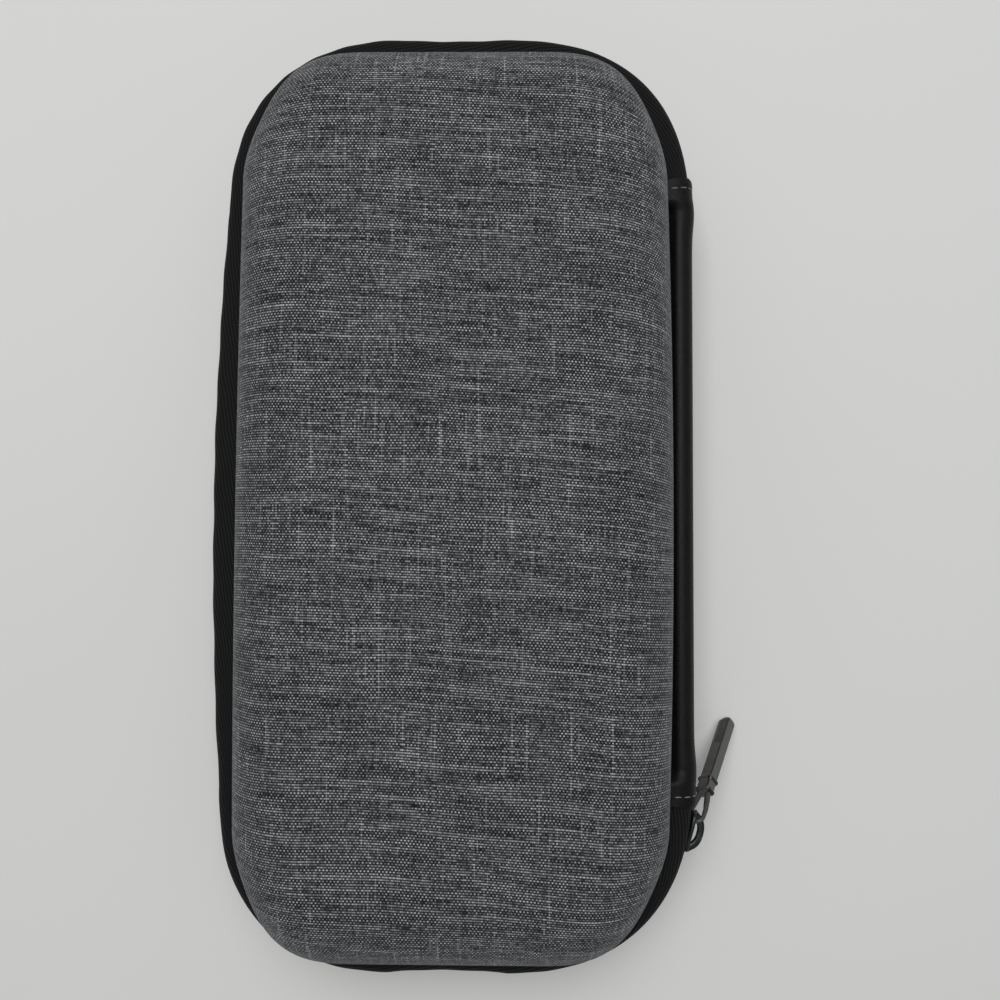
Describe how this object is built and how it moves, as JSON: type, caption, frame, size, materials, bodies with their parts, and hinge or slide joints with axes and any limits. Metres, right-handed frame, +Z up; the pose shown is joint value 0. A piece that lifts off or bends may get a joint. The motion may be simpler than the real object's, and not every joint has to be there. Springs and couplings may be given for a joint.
{
  "type": "miniature carry case",
  "caption": "Hard-shell zip case for tabletop miniatures, with a woven cover, a hinge strip along one long side, a zip with a slim pull, a pocketed foam tray and a foam-lined lid.",
  "frame": {"origin": "centre of the base shell's flat underside, which the closed case rests on", "axes": "+Z up, towards the lid; +Y along the case's length; +X towards the hinge strip"},
  "size_m": [0.1935, 0.3312, 0.076],
  "materials": {
    "heather_fabric": "two-tone plain-woven polyester, matt",
    "eva": "closed-cell foam rubber",
    "lining_knit": "brushed knit",
    "binding_tape": "ribbed binding tape",
    "foam": "open-cell polyurethane foam",
    "zip_tape": "twilled zip tape",
    "zip_coil": "nylon coil",
    "leatherette": "fine-grained coated fabric, satin",
    "thread": "sewing thread",
    "gunmetal": "dark plated zinc, satin",
    "cord": "braided cord",
    "pull_rubber": "moulded soft plastic, satin"
  },
  "bodies": {
    "base": {"base_fabric": "heather_fabric", "base_eva_shell": "eva", "base_lining": "lining_knit", "base_binding": "binding_tape", "base_foam_backing": "foam", "base_foam_tray": "foam", "zip_tape_lower": "zip_tape", "zip_coil_lower": "zip_coil", "spine_strip": "leatherette", "spine_lining": "lining_knit", "spine_stitches": "thread"},
    "lid": {"lid_fabric": "heather_fabric", "lid_eva_shell": "eva", "lid_lining": "lining_knit", "lid_binding": "binding_tape", "lid_foam_backing": "foam", "lid_foam_pad": "foam", "zip_tape_upper": "zip_tape", "zip_coil_upper": "zip_coil"},
    "slider": {"slider_body": "gunmetal", "slider_bridge": "gunmetal"},
    "cord": {"pull_cord": "cord"},
    "grip": {"pull_grip": "pull_rubber"}
  },
  "joints": [
    {"name": "lid_open", "type": "hinge", "parent": "base", "child": "lid", "pos_m": [0.088, 0, 0.038], "axis": [0, 1, 0], "range_deg": [0, 180], "deforming": ["spine_strip", "spine_lining", "spine_stitches", "zip_tape_upper", "zip_coil_upper"]},
    {"name": "slider_travel", "type": "hinge", "parent": "base", "child": "slider", "pos_m": [0.0195, -0.1016, 0.038], "axis": [0, 0, -1], "range_deg": [0, 76]},
    {"name": "pull_lift", "type": "hinge", "parent": "slider", "child": "cord", "pos_m": [0.08678, -0.11486, 0.038], "axis": [0.279, -0.9603, 0], "range_deg": [-2, 100]},
    {"name": "grip_flex", "type": "hinge", "parent": "cord", "child": "grip", "pos_m": [0.09141, -0.10781, 0.02974], "axis": [0.8569, 0.0393, 0.5139], "range_deg": [-3, 35]}
  ]
}
